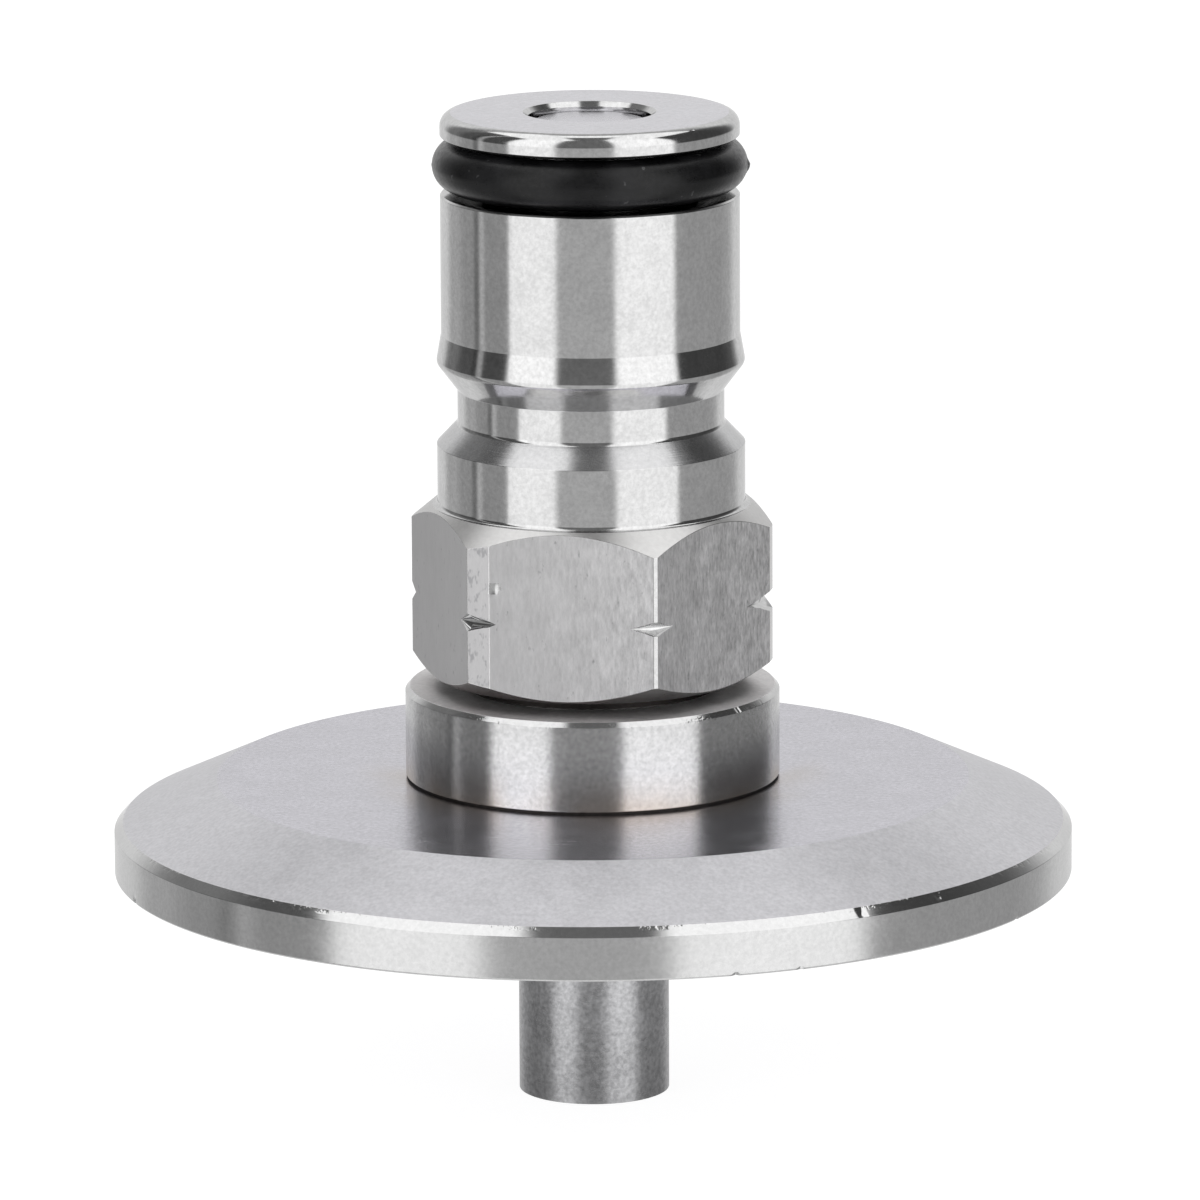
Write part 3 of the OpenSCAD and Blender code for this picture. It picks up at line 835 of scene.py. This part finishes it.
def hub():
    """The hub with one nick, painted near black as painted shade in its seam, its relief and all inside it."""
    marks = [(on_surface(51.0, hub_r - 0.1, hub_z - 0.1), 0.3, (-0.05, 0.05, -0.1))]
    piece = lathe("hub_ring", hub_outline, turn(HUB_COLUMNS), hub_steel, dents(marks))
    bevel_r, bevel_z = hub_r - HUB_BEVEL, hub_z - HUB_BEVEL
    seam_top_z = flat_z + SEAM_H + 0.01
    # Satin top face, paler as painted light
    paint(piece, hub_top_satin_painted_light, lambda r, z, up, facing: (z > hub_z - 0.03) & (z < hub_z + 0.01) & (up > 0.9))
    paint(piece, hub_bevel_steel, lambda r, z, up, facing: (r > bevel_r) & (z > bevel_z) & (z < hub_z))
    # Painted shade: near black in the relief, inside the hub and in the seam under it
    paint(piece, painted_shade_steel, lambda r, z, up, facing: (r < RELIEF_R + 0.02)
          | ((r > SPIGOT_R + 0.1) & (r < hub_r - 0.01) & (z < seam_top_z)))
    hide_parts("threaded_hub")


def post():
    """The post with a nick in its lip and a dent in its front flat, in six finishes and painted shade."""
    lip_nick = on_surface(44.0, BARREL_R - 0.1, top_z - 0.25)
    marks = [
        (lip_nick, 0.16, (-0.04, 0.04, -0.03)),
        (on_surface(-33.3, 9.24, post_z + 5.95), 0.34, (0, 0.035, 0)),
    ]
    piece = lathe("post_body", post_outline, post_azimuths(), post_turned, dents(marks))
    collar_edge_r = COLLAR_R + 0.125

    def in_hexagon(r, z):
        return (z > post_z) & (z < collar_z) & (r > collar_edge_r)

    paint(piece, bevel_satin, lambda r, z, up, facing: in_hexagon(r, z) & (np.abs(up) > 0.3)
          & (np.abs(z - post_z - NOTCH_Z) > NOTCH_H))
    paint(piece, top_steel, lambda r, z, up, facing: (z > top_z - 0.01) & (up > 0.99))
    paint(piece, chamfer_satin, lambda r, z, up, facing: (z > neck_in_z) & (z < neck_z) & (r > NECK_R + 0.1)
          & (up > 0.6) & (up < 0.8))
    paint(piece, post_satin, lambda r, z, up, facing: in_hexagon(r, z) & (np.abs(up) < 0.05)
          & (np.abs((facing + 30) % 60 - 30) < 2))
    paint(piece, corner_satin, lambda r, z, up, facing: in_hexagon(r, z) & (np.abs(up) < 0.05)
          & (np.abs(facing - WORN_FACE[0]) < 2))
    # Painted shade: near black under the post's foot, down the mouth's wall and in the chamber and socket
    paint(piece, painted_shade_steel, lambda r, z, up, facing: (z < post_z + 0.03)
          | ((r < CHAMBER_R + 0.1) & (z < top_z - MOUTH_PAINTED_SHADE_DEPTH))
          | ((r < THREAD_R + THREAD_BEVEL) & (z < shoulder_z + 0.1)))
    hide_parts("ball_lock_post")


def sealing_ring():
    """The black ring with the nib on its side."""
    nib = on_surface(88.0, ring_mid_r + ring_thick / 2, ring_z - 0.1)
    marks = [(nib, 0.5, (0.12, 0, 0))]
    piece = lathe("sealing_ring", ring_outline, turn(RING_COLUMNS), ring_rubber, dents(marks))
    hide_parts("post_o_ring")


def tube():
    piece = lathe("tube_body", tube_outline, turn(TUBE_COLUMNS), tube_steel)
    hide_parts("dip_tube")


def dress_node(node, material):
    """A CAD node whose own shape stays gets a better material."""
    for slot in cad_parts[node].material_slots:
        slot.material = material


# The studio round the post: where a zone starts and ends, in degrees from the camera's side, and how bright
# it is below and above the horizon. One zone fades into the next over the gap between them.
STUDIO = (
    ("background, left", -180, -148, 0.96, 0.55),
    ("room, back left", -133, -124, 0.56, 0.24),
    ("room, left", -113, -101.5, 0.40, 0.11),
    ("flag beside the strip light", -100, -96, 0.20, 0.06),
    ("strip light", -94, -90.5, 0.62, 0.50),
    ("dark front, left", -89, -67, 0.38, 0.09),
    ("soft box, left", -63.5, -28.5, 1.31, 1.50),
    ("camera's side", -24, 16.5, 0.56, 0.19),
    ("soft box, right", 21, 66, 1.34, 1.52),
    ("dark front, right", 70, 119, 0.44, 0.07),
    ("room, back right", 131, 132, 0.54, 0.12),
    ("background, right", 149, 180, 0.94, 0.55),
)
BRIGHTEST = 1.6
# Two boxes overhead, as they lie on a ceiling one unit up: how far out they start and end, and how far back
# and front. A third lies between them, further back.
OVERHEAD_OUT = (0.18, 0.75)
OVERHEAD_AHEAD = (-0.62, 0.6)
BRIDGE_AHEAD = (-0.46, -0.01)
OVERHEAD_FADE = 0.025
OVERHEAD_LIGHT = 1.4
# The ceiling round those boxes: how bright it is, and the heights as sines between which the zones give way
CEILING_LIGHT = 0.17
CEILING_FROM = (0.84, 0.9)
# Mirrored rays see the white background from these degrees round, and up to these heights as sines
BACKGROUND = (138, 150)
BACKGROUND_TOP = (0.56, 0.66)
# Height of a direction, as a sine, from which the upper pattern starts and where it is full
HORIZON = (-0.13, -0.05)
# The least height of a direction, as a sine, that is followed up to the ceiling
LEAST_RISE = 0.05


def studio_ramp(graph, turns, stops):
    """A colour ramp round the horizon from stops of (azimuth, brightness), as shares of the brightest."""
    node = graph.add("ShaderNodeValToRGB", {0: turns})
    ramp = node.color_ramp
    while len(ramp.elements) < len(stops):
        ramp.elements.new(0.5)
    for element, (azimuth, brightness) in zip(ramp.elements, stops):
        element.position = azimuth / 360 + 0.5
        element.color = rgb([brightness / BRIGHTEST] * 3)
    return node.outputs[0]


def window(graph, value, start, end, fade):
    """1 where the value lies between start and end, falling to 0 outside."""
    opens = graph.remap(value, start - fade, start + fade, 0.0, 1.0)
    closes = graph.remap(value, end - fade, end + fade, 1.0, 0.0)
    return graph.math("MULTIPLY", opens, closes)


def studio_world():
    """Soft boxes and a darker room, and a white background that the camera sees everywhere.

    Mirrored rays see that background only behind the part.
    """
    world = bpy.data.worlds.new("studio")
    bpy.context.scene.world = world
    world.use_nodes = True
    graph = Graph(world.node_tree)
    toward = graph.add("ShaderNodeTexCoord").outputs["Generated"]
    x, y, z = graph.add("ShaderNodeSeparateXYZ", {0: toward}).outputs
    angle = graph.math("ARCTAN2", x, graph.math("MULTIPLY", y, -1.0))
    seen = graph.math("SUBTRACT", angle, math.radians(CAMERA_AZIMUTH))
    turns = graph.math("FRACT", graph.math("ADD", graph.math("DIVIDE", seen, 2 * math.pi), 0.5))
    below = studio_ramp(graph, turns, [(a, under) for _, *ends, under, _ in STUDIO for a in ends])
    above = studio_ramp(graph, turns, [(a, over) for _, *ends, _, over in STUDIO for a in ends])
    rising = graph.remap(z, *HORIZON, 0.0, 1.0)
    pattern = graph.blend(rising, below, above)
    ceiling = rgb([CEILING_LIGHT / BRIGHTEST] * 3)
    pattern = graph.blend(graph.remap(z, *CEILING_FROM, 0.0, 1.0), pattern, ceiling)
    lit = graph.add("ShaderNodeVectorMath", {0: pattern, 3: BRIGHTEST}, operation="SCALE").outputs[0]
    level = graph.math("SQRT", graph.math("SUBTRACT", 1.0, graph.math("MULTIPLY", z, z)))
    on_ceiling = graph.math("DIVIDE", level, graph.math("MAXIMUM", z, LEAST_RISE))
    out = graph.math("MULTIPLY", graph.math("ABSOLUTE", graph.math("SINE", seen)), on_ceiling)
    ahead = graph.math("MULTIPLY", graph.math("COSINE", seen), on_ceiling)
    boxes = graph.math("MULTIPLY", window(graph, out, *OVERHEAD_OUT, OVERHEAD_FADE),
                       window(graph, ahead, *OVERHEAD_AHEAD, OVERHEAD_FADE))
    inner = OVERHEAD_OUT[0]
    between = graph.remap(out, inner, inner + OVERHEAD_FADE, 1.0, 0.0)
    bridge = graph.math("MULTIPLY", between, window(graph, ahead, *BRIDGE_AHEAD, OVERHEAD_FADE))
    overhead = graph.math("MAXIMUM", boxes, bridge)
    lit = graph.blend(overhead, lit, rgb([OVERHEAD_LIGHT] * 3))
    sideways = graph.math("MULTIPLY", graph.math("ABSOLUTE", graph.math("SUBTRACT", turns, 0.5)), 360.0)
    behind = graph.math("MULTIPLY", graph.remap(sideways, *BACKGROUND, 0.0, 1.0),
                        graph.remap(z, *BACKGROUND_TOP, 1.0, 0.0))
    path = graph.add("ShaderNodeLightPath").outputs
    mirrored = graph.math("MAXIMUM", path["Is Glossy Ray"], path["Is Transmission Ray"])
    white = graph.math("MAXIMUM", path["Is Camera Ray"], graph.math("MULTIPLY", mirrored, behind))
    colour = graph.blend(white, lit, rgb((1, 1, 1)))
    background = graph.add("ShaderNodeBackground", {"Color": colour, "Strength": 1.0})
    output = graph.add("ShaderNodeOutputWorld")
    graph.tree.links.new(background.outputs[0], output.inputs[0])


# The floor: half its side in metres, how far it lies under the tube, its glow for the camera and its grey
FLOOR_HALF = 3.0
FLOOR_GAP = 0.01
FLOOR_GLOW = 0.91
FLOOR_GREY = (0.26, 0.26, 0.26)


def floor():
    """A plain white floor under the dip tube, which keeps a faint shadow.

    Its glow is for the camera alone and lights nothing, and mirrored rays don't meet it.
    """
    z = (tube_low_z - FLOOR_GAP) * MM
    data = bpy.data.meshes.new("floor")
    around = [(-1, -1), (1, -1), (1, 1), (-1, 1)]
    data.from_pydata([(x * FLOOR_HALF, y * FLOOR_HALF, z) for x, y in around], [], [(0, 1, 2, 3)])
    plane = bpy.data.objects.new("floor", data)
    bpy.context.scene.collection.objects.link(plane)
    material = bpy.data.materials.new("floor_white")
    material.use_nodes = True
    graph = Graph(material.node_tree)
    seen = graph.add("ShaderNodeLightPath").outputs["Is Camera Ray"]
    strength = graph.math("MULTIPLY", seen, FLOOR_GLOW)
    glow = graph.add("ShaderNodeEmission", {"Color": rgb((1, 1, 1)), "Strength": strength})
    matt = graph.add("ShaderNodeBsdfDiffuse", {"Color": rgb(FLOOR_GREY)})
    both = graph.add("ShaderNodeAddShader")
    graph.tree.links.new(glow.outputs[0], both.inputs[0])
    graph.tree.links.new(matt.outputs[0], both.inputs[1])
    out = graph.add("ShaderNodeOutputMaterial")
    graph.tree.links.new(both.outputs[0], out.inputs[0])
    data.materials.append(material)
    plane.visible_glossy = False


def camera():
    """The camera as fitted to the photograph, which looks at the post's axis."""
    data = bpy.data.cameras.new("camera")
    eye = bpy.data.objects.new("camera", data)
    bpy.context.scene.collection.objects.link(eye)
    azimuth, elevation = math.radians(CAMERA_AZIMUTH), math.radians(CAMERA_ELEVATION)
    level = math.cos(elevation)
    back = Vector((math.sin(azimuth) * level, -math.cos(azimuth) * level, math.sin(elevation)))
    eye.location = Vector((0, 0, CAMERA_AIM_Z * MM)) + back * CAMERA_DISTANCE * MM
    roll = Matrix.Rotation(-math.radians(CAMERA_ROLL), 3, "Z")
    turned = (-back).to_track_quat("-Z", "Y").to_matrix() @ roll
    eye.rotation_euler = turned.to_euler()
    data.sensor_width = SENSOR_MM
    data.lens = CAMERA_FOCAL_PX / PHOTO_PX * SENSOR_MM
    data.shift_x = (PHOTO_PX / 2 - AXIS_PX) / PHOTO_PX
    data.clip_start, data.clip_end = CLIP
    bpy.context.scene.camera = eye


plate()
hub()
post()
sealing_ring()
tube()
spring_coil()
dress_node("poppet", pin_steel)
dress_node("poppet_seal", seal_rubber)
dress_node("dip_tube_o_ring", ring_rubber)
studio_world()
floor()
camera()
bpy.context.scene.view_settings.view_transform = "Standard"
